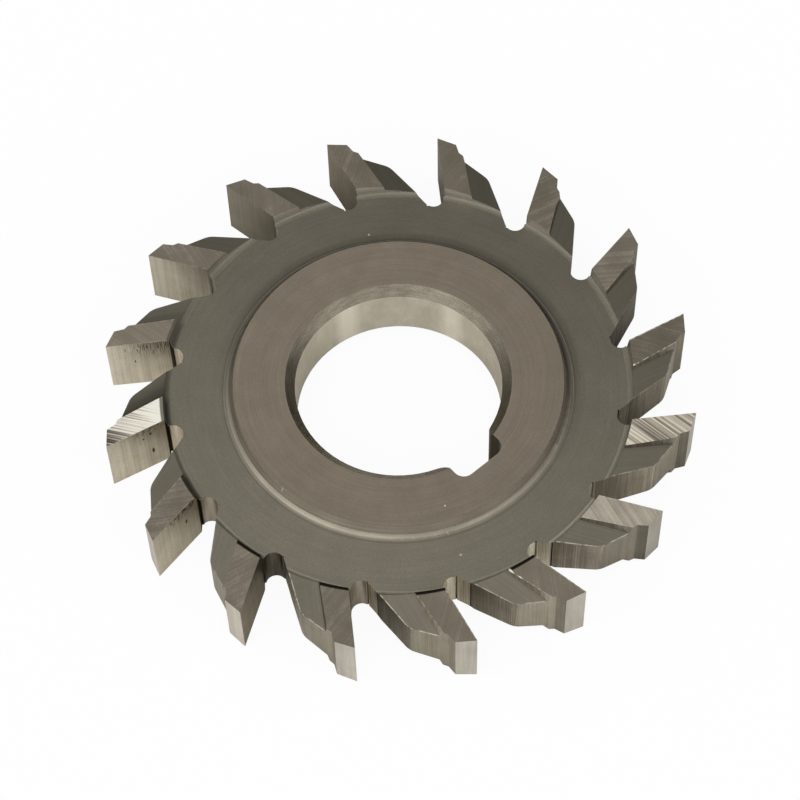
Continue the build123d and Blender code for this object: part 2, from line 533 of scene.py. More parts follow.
    def ringed(self, tree: Tree, colour: Socket) -> Socket:
        """Paint thin rings of light and shade: scale the colour by a ring's factor at its radius, by one past
        its reach.

        Args:
            tree: the material's node tree.
            colour: the colour so far.

        Returns:
            The colour with them.
        """
        out = add_node(tree, "ShaderNodeSeparateXYZ", links={0: self.place(tree)}).outputs[1]
        for radius, reach, factor in self.rings:
            apart = add_node(tree, "ShaderNodeMath", {"operation": "SUBTRACT", 1: radius}, {0: out})
            far = add_node(tree, "ShaderNodeMath", {"operation": "ABSOLUTE"}, {0: apart.outputs[0]})
            level = add_node(
                tree,
                "ShaderNodeMapRange",
                {"From Min": 0.0, "From Max": reach, "To Min": factor, "To Max": 1.0},
                {"Value": far.outputs[0]},
            )
            colour = add_node(
                tree, "ShaderNodeVectorMath", {"operation": "SCALE"}, {0: colour, "Scale": level.outputs[0]}
            ).outputs[0]
        return colour

    def brightened(self, tree: Tree, colour: Socket) -> Socket:
        """Add nicked spots and painted highlights: each fades in from its reach to its core, up to its share.

        Args:
            tree: the material's node tree.
            colour: the colour so far.

        Returns:
            The colour with them.
        """
        core = 0.3
        flat = add_node(
            tree, "ShaderNodeVectorMath", {"operation": "MULTIPLY", 1: (1, 1, 0)}, {0: self.place(tree)}
        )
        for angle, radius, reach, share in self.nicks_and_highlights:
            middle = (MIDDLE_RADIUS * math.radians(angle), radius, 0.0)
            far = add_node(
                tree, "ShaderNodeVectorMath", {"operation": "DISTANCE", 1: middle}, {0: flat.outputs[0]}
            )
            near = add_node(
                tree,
                "ShaderNodeMapRange",
                {"From Min": reach, "From Max": reach * core, "To Max": share},
                {"Value": far.outputs["Value"]},
            )
            colour = add_node(
                tree, "ShaderNodeMix", {"data_type": "RGBA", 7: linear(NICK_AND_HIGHLIGHT)}, {0: near.outputs[0], 6: colour}
            ).outputs[2]
        return colour


@dataclass(frozen=True)
class TurnedFinish(Finish):
    """A finish whose marks run round the axis, as turning and face grinding leave them."""

    def place(self, tree: Tree) -> Socket:
        """Work out the way round at a middle radius, the distance from the axis, and the height.

        Args:
            tree: the material's node tree.

        Returns:
            The three as one vector, in millimetres.
        """
        coordinates = add_node(tree, "ShaderNodeTexCoord")
        apart = add_node(tree, "ShaderNodeSeparateXYZ", links={0: coordinates.outputs["Object"]})
        x, y, height = apart.outputs
        flat = add_node(tree, "ShaderNodeCombineXYZ", links={0: x, 1: y})
        out = add_node(tree, "ShaderNodeVectorMath", {"operation": "LENGTH"}, {0: flat.outputs[0]})
        turn = add_node(tree, "ShaderNodeMath", {"operation": "ARCTAN2"}, {0: y, 1: x})
        way = add_node(
            tree, "ShaderNodeMath", {"operation": "MULTIPLY", 1: MIDDLE_RADIUS * MM}, {0: turn.outputs[0]}
        )
        made = add_node(
            tree, "ShaderNodeCombineXYZ", links={0: way.outputs[0], 1: out.outputs["Value"], 2: height}
        )
        return add_node(
            tree, "ShaderNodeVectorMath", {"operation": "SCALE", "Scale": 1 / MM}, {0: made.outputs[0]}
        ).outputs[0]


# Pits in the rakes: up and along the face, the tooth, and half the height and width.
RAKE_PITS = (
    (-0.92, -23.0, 5, 0.42, 0.13),
    (2.09, -23.94, 5, 0.14, 0.1),
    (2.57, -23.02, 5, 0.16, 0.14),
    (1.06, -23.14, 4, 0.34, 0.13),
    (0.49, -25.31, 6, 0.26, 0.06),
    (2.91, -26.26, 6, 0.24, 0.045),
    (2.66, -24.86, 6, 0.2, 0.045),
)

# Chips at the back edges of the side lands: back and out in the tooth, the tooth, and half sizes.
LAND_CHIPS = (
    (4.5, 25.0, 0, 0.12, 0.34),
    (4.22, 26.1, 0, 0.1, 0.2),
    (4.6, 24.62, 13, 0.12, 0.14),
)

# All is hardened high-speed steel, told apart by how it was cut. After the name come the middle,
# dark and light colours, the roughness, and the spacing and length of the marks in millimetres.
# Ground marks are really some hundredths of a millimetre apart, which is too fine to show in the
# render, so they are drawn coarser.
FINISHES: dict[Zone, Finish] = {
    # Face ground: an even warm grey whose marks hardly show.
    Zone.HUB_FACE: TurnedFinish(
        "ground_hub_face", "7c7365", "5e564c", "999082", 0.36, 0.13, 12.0,
        marks=0.06, bands=0.03, stain=0.03, unevenness=0.01, nicks_and_highlights=((-23.5, 15.9, 0.16, 0.6),),
    ),
    # Turned with a fine feed: pale, with long thin rings.
    Zone.RECESS_WALL: TurnedFinish(
        "turned_wall", "b0a99e", "847d74", "d5cec4", 0.42, 0.1, 30.0, nicks_and_highlights=((-84.0, 17.62, 0.16, 0.8),),
    ),
    # Left by a tool's round nose; a ring of painted highlight lies between two of painted shade,
    # and painted shade fills the hub's corner.
    Zone.COVE: TurnedFinish(
        "turned_cove", "827c6f", "656255", "a7a090", 0.34, 0.1, 30.0,
        corner=0.22, rings=((17.93, 0.2, 0.75), (18.26, 0.2, 1.25), (18.58, 0.14, 0.8)),
    ),
    # Turned and left as it was: a dull greenish grey with a fine grain, with painted shade in the
    # hub's corner and a ring of painted shade beside the hub.
    Zone.WEB: TurnedFinish(
        "turned_web", "7b7669", "625d50", "989081", 0.5, 0.16, 9.0,
        marks=0.05, bands=0.02, stain=0.03, grain=0.08, unevenness=0.01,
        corner=0.31, rings=((18.66, 0.2, 0.78),), nicks_and_highlights=((148.5, 19.6, 0.16, 0.6), (-23.5, 21.1, 0.16, 0.6)),
    ),
    # The rim's inner wall, turned as the hub's is, but cooler and paler.
    Zone.RIM_WALL: TurnedFinish("turned_rim_wall", "b1aca7", "8a8582", "e0dadb", 0.42, 0.1, 30.0),
    # The web's dull grey, carried up to the rim.
    Zone.RIM_COVE: TurnedFinish(
        "turned_rim_cove", "837f71", "696456", "a49b8c", 0.5, 0.16, 9.0,
        marks=0.05, bands=0.02, stain=0.03, grain=0.08, unevenness=0.01,
    ),
    # Ground smooth: a silky grey with long marks across the tooth, and bright burrs on its edges
    # that are partly painted edge highlight.
    Zone.SIDE_LAND: Finish(
        "ground_side_land", "7c7467", "4b4538", "dbd3c1", 0.3, 0.22, 22.0,
        angle=60.0, marks=0.05, bands=0.03, stain=0.05, grain=0.03, relief=0.001,
        edge_line=True, spots=LAND_CHIPS, spot_colour="f2eee2",
    ),
    # Ground below the land at another angle: a little duller, so that the two faces part.
    Zone.SIDE_FLOOR: Finish(
        "ground_side_floor", "7c7769", "5f5a52", "9f9987", 0.36, 0.2, 14.0,
        angle=105.0, marks=0.05, bands=0.03, grain=0.04, relief=0.001, edge_line=True,
    ),
    # Rubbed by the wheel's side: a dull narrow face with short marks.
    Zone.FLOOR_WALL: Finish("ground_floor_wall", "7a766d", "525047", "9d9b90", 0.4, 0.2, 6.0),
    # Ground and hot: glossy, brown at a flat angle, with pits, burns and a dark line at its foot.
    Zone.RAKE: Finish(
        "ground_rake_face", "847f73", "3f3a33", "a29f95", 0.32, 0.2, 14.0,
        marks=0.08, bands=0.06, lines=((-21.12, -20.8),), burns=True, spots=RAKE_PITS, grazing="e4dccd",
    ),
    # Ground last: the palest face, a clean bright line at the tip.
    Zone.TIP_LAND: Finish("ground_tip_land", "beb9ae", "8f887d", "e1ded0", 0.34, 0.3, 6.0, marks=0.08),
    # Milled: grey streaks from side to side.
    Zone.TOOTH_BACK: Finish(
        "milled_tooth_back", "958f80", "554f44", "b7b0a1", 0.38, 0.13, 14.0, marks=0.14,
    ),
    # Milled as the back is, and darker.
    Zone.NOTCH: Finish("milled_notch", "817b6d", "565249", "b4af9f", 0.4, 0.15, 14.0, marks=0.14),
    # Milled in two cuts: strong streaks, with a dark line where the strip starts that is painted
    # brighter as a highlight.
    Zone.FLANK: Finish(
        "milled_flank", "898173", "464038", "cdc4b5", 0.42, 0.14, 14.0,
        marks=0.2, lines=((-14.28, -14.17),), strip=True,
    ),
    # Milled round: pale streaks that gather the light, and two dark lines left by the cutter.
    Zone.GULLET: Finish(
        "milled_gullet", "b0a898", "4b453b", "e0d8c9", 0.36, 0.25, 14.0,
        marks=0.16, lines=((5.35, 5.6), (2.86, 2.98)),
    ),
    # Ground: a pale cloudy sheen with two painted highlights.
    Zone.BORE: TurnedFinish(
        "ground_bore", "c5bfaf", "a29c8c", "e4ded1", 0.3, 0.3, 30.0,
        marks=0.1, stain=0.12, nicks_and_highlights=((107.5, 11.0, 3.2, 0.7), (169.5, 11.0, 3.2, 0.75)),
    ),
    # Turned with chatter: darker than the bore, short marks and a strong grain.
    Zone.CHAMFER: TurnedFinish(
        "turned_chamfer", "736d60", "524c41", "938c7f", 0.34, 0.12, 3.0, marks=0.15, grain=0.2,
    ),
    # Broached: a dark brown that is nearly black.
    Zone.KEYWAY: TurnedFinish("broached_keyway", "261e0a", "150f04", "493a16", 0.4, 0.25, 14.0),
}


@dataclass
class CutterBody:
    """The whole cutter, one piece of steel: the CAD solid's surfaces, each with its own finish.

    Teeth are numbered clockwise from the one whose tip stands at the first tip angle. A place in a
    tooth is back, out and up: back is clockwise, out is away from the axis. An edge is a point and
    the direction away from the edge, each as back and out.
    """

    tooth_count: int = 16
    tip_radius: float = 31.5
    rim_radius: float = 25.0
    hub_radius: float = 17.5
    bore_radius: float = 11.0
    half_width: float = 4.0
    recess_level: float = 2.6
    first_tip_angle: float = -4.0
    rake_angle: float = 14.0
    land_back: float = 2.15
    gullet_reach: float = 24.7
    gullet_radius: float = 1.1
    gullet_centre: Pair = (0.49, 24.39)

    # How far out a tooth's outline turns from gullet to flank, flank to back, back to notch and
    # notch to tip.
    outline_foot: float = 24.0
    flank_top: float = 27.8
    notch_foot: float = 29.4
    tip_foot: float = 30.5

    # The radii between the two coves, outside the keyway and outside the chamfer, how far a cove
    # rises, and how far a face's middle may lie from its exact place.
    recess_middle: float = 21.0
    hole_reach: float = 14.5
    chamfer_reach: float = 12.5
    cove_rise: float = 0.6
    slack: float = 0.05

    # How steeply a normal must point up on each kind of face: one is flat, zero is upright.
    flat: float = 0.999
    land_slope: float = 0.99
    floor_slope: float = 0.9
    wall_slope: float = 0.6
    chamfer_slope: float = 0.5
    cove_slope: float = 0.4
    upright: float = 0.05

    # Cosines between a normal and a tooth's way back, its way out or the radius: the least for the
    # outline behind a rake, the most for a rake, and the least for flank, notch and tip. A floor's
    # wall doesn't face inwards, and the bore does.
    behind_cosine: float = -0.5
    rake_cosine: float = -0.9
    flank_cosine: float = 0.7
    notch_cosine: float = 0.75
    tip_cosine: float = 0.85
    wall_cosine: float = -0.8
    bore_cosine: float = -0.98

    # Edges sharper than this stay sharp, and the weight keeps flat faces flat beside fillets.
    sharp_angle: float = 24.0
    flat_weight: int = 90

    # The weights of back and out in the way along an outline.
    along_shares: Pair = (0.8, 0.9)

    # The two edges of a land and of a floor that may carry a burr.
    land_edges: tuple[Edge, Edge] = (((0.0, 31.5), (0.9703, 0.2419)), ((3.111, 29.676), (-0.956, -0.2933)))
    floor_edges: tuple[Edge, Edge] = (((2.6, 30.0), (-0.5353, -0.8446)), ((6.15, 27.75), (-0.9112, -0.4118)))

    # Lands with a painted glint: a step lighter, how much stronger the marks are, and how much the
    # painted glint grows lighter and plainer inwards, over its length, by these gains.
    glinting_lands: dict[int, Triple] = field(
        default_factory=lambda: {5: (0.0, 14.0, 0.66), 14: (0.24, 6.0, 0.0), 15: (0.2, 1.0, 0.0)}
    )
    land_length: float = 5.8
    fade_lighter: float = 0.8
    fade_factor: float = 0.45

    # The shade on a floor beside its wall, which fades over the floor's width from the wall's foot.
    floor_fade: PerTooth = field(default_factory=lambda: {5: 0.75, 6: 0.4})
    wall_foot: Edge = ((3.338, 29.533), (0.9609, 0.2769))
    floor_width: float = 3.3

    # The shade on the rim's cove below a tooth: how far back and out it starts and is full.
    wall_shade: PerTooth = field(default_factory=lambda: {2: 0.3, 3: 0.5, 4: 0.65, 5: 0.7, 6: 0.5})
    shade_front: Pair = (-0.6, -0.1)
    shade_rear: Pair = (5.0, 4.4)
    shade_inner: Pair = (24.2, 24.7)

    # Painted light: how much lighter the turned faces are towards the lit side, or darker below zero.
    lit_side_lighter: dict[Zone, float] = field(
        default_factory=lambda: {Zone.WEB: 0.2, Zone.COVE: 0.35, Zone.RIM_COVE: 0.2, Zone.RIM_WALL: -0.7}
    )

    # How much the tone of one face differs from the next one's, at random.
    tone_spread: float = 0.04
    seed: int = 7

    # Painted light and shade: a factor on the colour of single faces, tooth by tooth, for the
    # highlights, reflections and shade that each tooth's faces catch.
    painted_light: dict[Zone, PerTooth] = field(
        default_factory=lambda: {
            Zone.RAKE: {3: 1.2, 4: 2.57, 5: 2.98, 6: 3.2, 7: 2.5, 8: 1.12, 9: 0.79, 10: 0.19},
            Zone.GULLET: {
                0: 2.4, 1: 1.4, 2: 0.4, 3: 1.1, 4: 1.8, 5: 1.8, 6: 0.75, 12: 0.5, 13: 0.6, 14: 1.43, 15: 2.45,
            },
            Zone.FLANK: {0: 1.02, 1: 0.74, 2: 1.2, 12: 0.45, 13: 0.9, 14: 1.5, 15: 1.35},
            Zone.RIM_COVE: {0: 1.2, 1: 1.2, 2: 1.3, 3: 1.2, 5: 0.7, 14: 1.3, 15: 1.6},
            Zone.SIDE_LAND: {
                0: 1.03, 1: 0.97, 2: 0.87, 3: 0.96, 4: 0.93, 5: 1.2, 6: 1.36, 7: 1.15, 8: 1.12, 9: 1.05,
                10: 1.07, 11: 0.99, 12: 1.13, 13: 0.85, 14: 1.14, 15: 1.05,
            },
            Zone.SIDE_FLOOR: {
                2: 0.93, 3: 1.06, 4: 1.08, 5: 1.3, 6: 1.37, 7: 1.1, 8: 1.05, 9: 0.88, 11: 1.1, 12: 1.04,
                15: 0.94,
            },
            Zone.TIP_LAND: {1: 0.96, 2: 1.05, 3: 1.2, 4: 1.09, 14: 0.87, 15: 0.8},
            Zone.NOTCH: {1: 1.2, 12: 0.65, 14: 0.78, 15: 0.76},
            Zone.TOOTH_BACK: {0: 1.2, 1: 1.04, 3: 0.92, 13: 1.06, 14: 1.03, 15: 0.9},
            Zone.FLOOR_WALL: {0: 1.8, 1: 2.75, 12: 0.96, 13: 1.15, 14: 1.05, 15: 1.27},
        }
    )

    # The three values of wear, partly real and partly painted light and shade: on every tooth, and on single
    # teeth.
    wears: dict[Zone, Triple] = field(
        default_factory=lambda: {
            Zone.FLANK: (1.5, 0.6, 0.0),
            Zone.GULLET: (1.0, 0.6, 0.0),
            Zone.RAKE: (0.0, 0.35, 0.0),
        }
    )
    worn: dict[Zone, dict[int, Triple]] = field(
        default_factory=lambda: {
            Zone.SIDE_FLOOR: {
                0: (0.6, 0, 0), 1: (0.8, 0, 0), 2: (0.7, 0, 0), 3: (0.3, 0, 0), 12: (0.1, 0, 0),
                13: (0.3, 0, 0), 14: (0.5, 0, 0), 15: (0.8, 0, 0),
            },
            # Side lands: the burred edge, painted shade at the rim on teeth 0 to 6, and a painted glint's
            # cooler colour on tooth 5.
            Zone.SIDE_LAND: {
                0: (0.4, 1.0, 0), 1: (0.3, 1.0, 0), 2: (0.0, 1.0, 0), 3: (0.0, 1.0, 0), 4: (0.2, 0.9, 0),
                5: (0.4, 0.8, 0.3), 6: (0.25, 0.5, 0), 7: (0.15, 0, 0), 12: (0.1, 0, 0), 13: (0.7, 0, 0),
                15: (0.2, 0, 0),
            },
            Zone.FLANK: {0: (2.8, 1, 0), 1: (3.4, 1, 0), 2: (1.3, 0.4, 0), 14: (1.2, 0, 0), 15: (2.9, 1, 0)},
            Zone.GULLET: {3: (1, 1, 0), 4: (1, 1, 0), 5: (1, 1, 0), 14: (1, 0.4, 0)},
            Zone.RAKE: {4: (1.0, 1.0, 0.0), 5: (0.5, 1.0, 0.0), 6: (0.1, 0.9, 0.9), 7: (0.1, 0.3, 0.2)},
        }
    )
    object: bpy.types.Object | None = field(default=None)

    @property
    def pitch(self) -> float:
        """The angle from one tooth to the next, in degrees."""
        return 360 / self.tooth_count

    @staticmethod
    def among(zone: np.ndarray, *names: Zone) -> np.ndarray:
        """Return which faces or corners lie in one of the named zones."""
        return np.isin(zone, [ZONES.index(name) for name in names])

    @staticmethod
    def rise(values: np.ndarray, start: float, end: float) -> np.ndarray:
        """Return how far each value has come from a start to an end, from zero to one."""
        return np.clip((values - start) / (end - start), 0, 1)

    @staticmethod
    def read(items: bpy.types.bpy_prop_collection, name: str, count: int) -> np.ndarray:
        """Return one vector of each mesh item as rows of three."""
        values = np.zeros(count * 3, np.float32)
        items.foreach_get(name, values)
        return values.reshape(-1, 3)

    def per_tooth(self, amounts: PerTooth) -> np.ndarray:
        """Return one amount for each tooth, zero where none is given."""
        return np.array([amounts.get(number, 0.0) for number in range(self.tooth_count)])

    def rake_swing(self, radius: np.ndarray) -> np.ndarray:
        """Work out how many degrees behind its tip a rake face stands.

        The rake line starts at the tip and leans back by the rake angle. Where it crosses a circle
        follows from the two sides and the angle between them.

        Args:
            radius: the radii at which to look.

        Returns:
            The angle at each radius.
        """
        lean = math.radians(self.rake_angle)
        inside = np.clip(radius**2 - (self.tip_radius * math.sin(lean)) ** 2, 0, None)
        down = self.tip_radius * math.cos(lean) - np.sqrt(inside)
        return np.degrees(np.arctan2(down * math.sin(lean), self.tip_radius - down * math.cos(lean)))

    def tooth_of(self, points: np.ndarray) -> np.ndarray:
        """Find the tooth that each point belongs to: how many pitches it lies behind the first rake.

        Args:
            points: rows of x, y and z.

        Returns:
            The number of each point's tooth, counted clockwise.
        """
        radius = np.hypot(points[:, 0], points[:, 1])
        angle = np.degrees(np.arctan2(points[:, 1], points[:, 0]))
        behind = self.first_tip_angle - self.rake_swing(radius) - angle
        return np.floor(behind / self.pitch).astype(int) % self.tooth_count

    def in_tooth(self, points: np.ndarray, tooth: np.ndarray) -> np.ndarray:
        """Turn points by the angle of their tooth's tip.

        Args:
            points: rows of x, y and z.
            tooth: the tooth of each point.

        Returns:
            Rows of back, out and up.
        """
        angle = np.radians(self.first_tip_angle - tooth * self.pitch)
        out = points[:, 0] * np.cos(angle) + points[:, 1] * np.sin(angle)
        back = points[:, 0] * np.sin(angle) - points[:, 1] * np.cos(angle)
        return np.stack([back, out, points[:, 2]], axis=1)

    @staticmethod
    def patch_middles(centres: np.ndarray, normals: np.ndarray, areas: np.ndarray) -> np.ndarray:
        """Find the middle of all faces in each face's plane, so that they get one finish.

        A plane is known by its direction and its distance from the origin, both rounded. Its middle
        is the mean of its faces' centres, each weighted by its area.

        Args:
            centres: the faces' centres.
            normals: the faces' directions.
            areas: the faces' areas.

        Returns:
            The middle for each face, as rows of x, y and z.
        """
        direction_steps, distance_steps = 40, 8
        distance = (centres * normals).sum(axis=1)
        planes = np.column_stack([normals * direction_steps, distance * distance_steps])
        _, patch = np.unique(np.round(planes), axis=0, return_inverse=True)
        patch = patch.ravel()
        weight = np.bincount(patch, areas)
        middles = [np.bincount(patch, areas * centres[:, i])[patch] / weight[patch] for i in range(3)]
        return np.column_stack(middles)

    def zones(self, centres: np.ndarray, normals: np.ndarray, areas: np.ndarray) -> np.ndarray:
        """Sort the faces into zones by their place and direction, where a later rule wins.

        Args:
            centres: the faces' centres.
            normals: the faces' directions.
            areas: the faces' areas.

        Returns:
            Each face's zone, as a number in the order of Zone.
        """
        tooth = self.tooth_of(centres - self.slack * normals)
        middles = self.patch_middles(centres, normals, areas)
        back, out, _ = self.in_tooth(middles - self.slack * normals, tooth).T
        facing_back, facing_out, _ = self.in_tooth(normals, tooth).T
        radius = np.hypot(centres[:, 0], centres[:, 1])
        steep = np.abs(normals[:, 2])
        height = np.abs(centres[:, 2])
        radial = (centres[:, :2] * normals[:, :2]).sum(axis=1) / radius
        upright = steep < self.upright
        flat = steep > self.flat
        teeth = radius > self.gullet_reach
        outline = upright & (radius > self.hub_radius)
        behind = outline & (facing_back > self.behind_cosine) & (out > self.outline_foot)
        tip = behind & (facing_out > self.tip_cosine)
        in_recess = (radius > self.hub_radius - self.slack) & (radius < self.rim_radius + 2 * self.slack)
        wall = ~flat & ~upright & in_recess & (steep < self.cove_slope)
        low = height < self.recess_level + self.cove_rise
        high = height > self.half_width - 2 * self.slack
        cove = ~flat & ~upright & in_recess & (steep >= self.cove_slope) & low
        at_rim = radius > self.recess_middle
        hole = upright & (radius < self.hole_reach)
        leaning = (steep > self.chamfer_slope) & (steep < self.floor_slope)
        rules = [
            (Zone.SIDE_LAND, teeth & (steep > self.land_slope) & ~flat),
            (Zone.SIDE_FLOOR, teeth & (steep > self.floor_slope) & (steep <= self.land_slope)),
            (Zone.FLOOR_WALL, teeth & ~upright & (steep < self.wall_slope) & (radial > self.wall_cosine)),
            (Zone.GULLET, outline),
            (Zone.RAKE, outline & (facing_back < self.rake_cosine) & (out > self.outline_foot)),
            (Zone.TOOTH_BACK, behind),
            (Zone.FLANK, behind & (facing_back > self.flank_cosine) & (out < self.flank_top)),
            (Zone.NOTCH, behind & (facing_back > self.notch_cosine) & (out > self.notch_foot)),
            (Zone.TIP_LAND, tip & (back < self.land_back) & (out > self.tip_foot)),
            (Zone.COVE, cove),
            (Zone.RECESS_WALL, wall),
            (Zone.RIM_COVE, cove & at_rim),
            (Zone.RIM_WALL, wall & at_rim),
            (Zone.HUB_FACE, flat & (radius < self.hub_radius) & high),
            (Zone.KEYWAY, hole),
            (Zone.BORE, hole & (radial < self.bore_cosine) & (radius < self.bore_radius + self.slack)),
            (Zone.CHAMFER, leaning & (radius < self.chamfer_reach)),
        ]
        found = np.full(len(centres), ZONES.index(Zone.WEB))
        for zone, where in rules:
            found[where] = ZONES.index(zone)
        return found

    def build(self, node: bpy.types.Object) -> None:
        """Copy the CAD node's mesh, merge its corners and shade its curved faces smooth.

        Args:
            node: the CAD node of the cutter.
        """
        mesh = node.data.copy()
        mesh.name = "cutter_body"
        body = bpy.data.objects.new("cutter_body", mesh)
        bpy.context.scene.collection.objects.link(body)
        self.object = body
        self.merge(mesh)
        mesh.polygons.foreach_set("use_smooth", np.ones(len(mesh.polygons), bool))
        mesh.set_sharp_from_angle(angle=math.radians(self.sharp_angle))
        weighted = body.modifiers.new("flat_faces_stay_flat", "WEIGHTED_NORMAL")
        weighted.mode = "FACE_AREA"
        weighted.keep_sharp = True
        weighted.weight = self.flat_weight

    @staticmethod
    def merge(mesh: bpy.types.Mesh) -> None:
        """Join the corners that share a place, and drop the normals that came with the mesh.

        Args:
            mesh: the mesh to mend.
        """
        same_place, no_length = 0.0005 * MM, 0.0001 * MM
        work = bmesh.new()
        work.from_mesh(mesh)
        bmesh.ops.remove_doubles(work, verts=work.verts, dist=same_place)
        bmesh.ops.dissolve_degenerate(work, edges=work.edges, dist=no_length)
        work.to_mesh(mesh)
        work.free()
        if mesh.has_custom_normals:
            mesh.attributes.remove(mesh.attributes["custom_normal"])

    def dress(self) -> None:
        """Give every face its zone's finish, its place in its tooth and its tooth's look."""
        mesh = self.object.data
        count = len(mesh.polygons)
        centres = self.read(mesh.polygons, "center", count) / MM
        normals = self.read(mesh.polygons, "normal", count)
        areas = np.zeros(count, np.float32)
        mesh.polygons.foreach_get("area", areas)
        zone = self.zones(centres, normals, areas)
        mesh.materials.clear()
        for name in ZONES:
            mesh.materials.append(FINISHES[name].make())
        mesh.polygons.foreach_set("material_index", zone.astype(np.int32))

        vertex = np.zeros(len(mesh.loops), np.int32)
        mesh.loops.foreach_get("vertex_index", vertex)
        totals = np.zeros(count, np.int32)
        mesh.polygons.foreach_get("loop_total", totals)
        places = self.read(mesh.vertices, "co", len(mesh.vertices))[vertex] / MM
        tooth = np.repeat(self.tooth_of(centres - self.slack * normals), totals)
        zone_here = np.repeat(zone, totals)
        for name, values in (
            ("tooth_place", self.pattern_places(places, tooth, zone_here)),
            ("tooth_look", self.looks(places, tooth, zone_here)),
            ("tooth_edges", self.edges(places, tooth, zone_here)),
            ("tooth_wear", self.wear(tooth, zone_here)),
        ):
            attribute = mesh.attributes.new(name, "FLOAT_VECTOR", "CORNER")
            attribute.data.foreach_set("vector", values.astype(np.float32).ravel())
        mesh.update()
        found = {name.value: int(n) for name, n in zip(ZONES, np.bincount(zone, minlength=len(ZONES)))}
        log.info("cutter body: %d faces, %s", count, found)

    def pattern_places(self, places: np.ndarray, tooth: np.ndarray, zone: np.ndarray) -> np.ndarray:
        """Work out each corner's place in its pattern space, in millimetres.

        On a side face that is back, out and up in the tooth. On an upright face it is the height,
        then the way along the outline: back times 0.8 less out times 0.9, which is near one for one
        on every straight side, or in the gullet its radius times the angle round its centre. Each
        tooth is moved to a part of the pattern of its own.

        Args:
            places: the corners' places.
            tooth: the corners' teeth.
            zone: the corners' zones.

        Returns:
            Rows of three.
        """
        back_share, out_share = self.along_shares
        own = self.in_tooth(places, tooth)
        along = own[:, 0] * back_share - own[:, 1] * out_share
        next_own = self.in_tooth(places, tooth + 1)
        turn = np.arctan2(next_own[:, 1] - self.gullet_centre[1], next_own[:, 0] - self.gullet_centre[0])
        around = self.gullet_radius * ((turn - math.pi / 2) % (2 * math.pi))
        along = np.where(self.among(zone, Zone.GULLET), around, along)
        rolled = np.stack([own[:, 2], along, np.zeros(len(own))], axis=1)
        made = np.where(self.among(zone, *UPRIGHT)[:, None], rolled, own)
        made[:, 2] = TOOTH_STEP * tooth
        return made

    def edges(self, places: np.ndarray, tooth: np.ndarray, zone: np.ndarray) -> np.ndarray:
        """Measure from two edges of each corner's side face and from the rim's radius.

        A land has its rake edge and its back edge, a floor has the tooth's back and its flank. Each
        distance is the step from a point of the edge, taken along the direction away from it.

        Args:
            places: the corners' places.
            tooth: the corners' teeth.
            zone: the corners' zones.

        Returns:
            Rows of the three distances.
        """
        own = self.in_tooth(places, tooth)[:, :2]
        land = self.among(zone, Zone.SIDE_LAND)
        first, second = (
            np.where(land, (own - land_point) @ land_way, (own - floor_point) @ floor_way)
            for (land_point, land_way), (floor_point, floor_way) in zip(self.land_edges, self.floor_edges)
        )
        out = np.hypot(places[:, 0], places[:, 1]) - self.rim_radius
        return np.stack([first, second, out], axis=1)

    def wear(self, tooth: np.ndarray, zone: np.ndarray) -> np.ndarray:
        """Look up three values for each corner, which stand for different marks on different faces.

        On side faces they are the burred edge's line, which is partly a painted edge highlight, the
        painted shade along the rim, and how much of a painted glint's cooler colour the face takes.
        On flanks and gullets they are the factor of the painted highlight on the strip and the
        strength of the lines, and on rakes the burnt edge, the line at the foot and the burnt streaks.

        Args:
            tooth: the corners' teeth.
            zone: the corners' zones.

        Returns:
            Rows of the three values.
        """
        found = np.zeros((self.tooth_count, len(ZONES), 3))
        for name, values in self.wears.items():
            found[:, ZONES.index(name)] = values
        for name, teeth in self.worn.items():
            for number, values in teeth.items():
                found[number, ZONES.index(name)] = values
        return found[tooth, zone]

    def looks(self, places: np.ndarray, tooth: np.ndarray, zone: np.ndarray) -> np.ndarray:
        """Work out how each corner differs from its finish: a random tone, and painted light and shade.

        The three values are a step from dark to light, how much stronger the marks are, and a
        factor on the colour. The glinting lands' steps and stronger marks are painted glints, and the
        factors tooth by tooth are painted highlights, reflections and shade.

        Args:
            places: the corners' places.
            tooth: the corners' teeth.
            zone: the corners' zones.

        Returns:
            Rows of the three values.
        """
        rng = np.random.default_rng(self.seed)
        look = np.zeros((self.tooth_count, len(ZONES), 3))
        look[:, :, 0] = rng.uniform(-self.tone_spread, self.tone_spread, (self.tooth_count, len(ZONES)))
        look[:, :, 2] = 1.0
        for number, (lighter, stronger, _) in self.glinting_lands.items():
            look[number, ZONES.index(Zone.SIDE_LAND), :2] = lighter, stronger
        # Painted light and shade, tooth by tooth.
        for name, factors in self.painted_light.items():
            for number, factor in factors.items():
                look[number, ZONES.index(name), 2] = factor
        found = np.where(self.among(zone, *ON_TOOTH)[:, None], look[tooth, zone], (0.0, 0.0, 1.0))
        self.shade(found, places, tooth, zone)
        return found

    def shade(self, found: np.ndarray, places: np.ndarray, tooth: np.ndarray, zone: np.ndarray) -> None:
        """Change the looks within single faces, where light, shade or wear runs over them.

        A glinting land's painted glint grows lighter and plainer inwards by its distance from the tip
        over its length. A floor is shaded from its wall's foot to its far side, and the rim's cove
        where a tooth's land ends above it; both are painted shade. The web, its coves and the rim's
        wall are painted lighter or darker towards the lit side: one plus a share of the distance
        that way over the rim's radius.

        Args:
            found: the looks, which are changed in place.
            places: the corners' places.
            tooth: the corners' teeth.
            zone: the corners' zones.
        """
        own = self.in_tooth(places, tooth)
        fades = self.per_tooth({number: fade for number, (_, _, fade) in self.glinting_lands.items()})
        inward = fades[tooth] * (self.tip_radius - own[:, 1]) / self.land_length
        inward = np.where(self.among(zone, Zone.SIDE_LAND), inward, 0.0)
        found[:, 0] += self.fade_lighter * inward
        found[:, 1] *= 1.0 - inward
        found[:, 2] *= 1.0 + self.fade_factor * inward

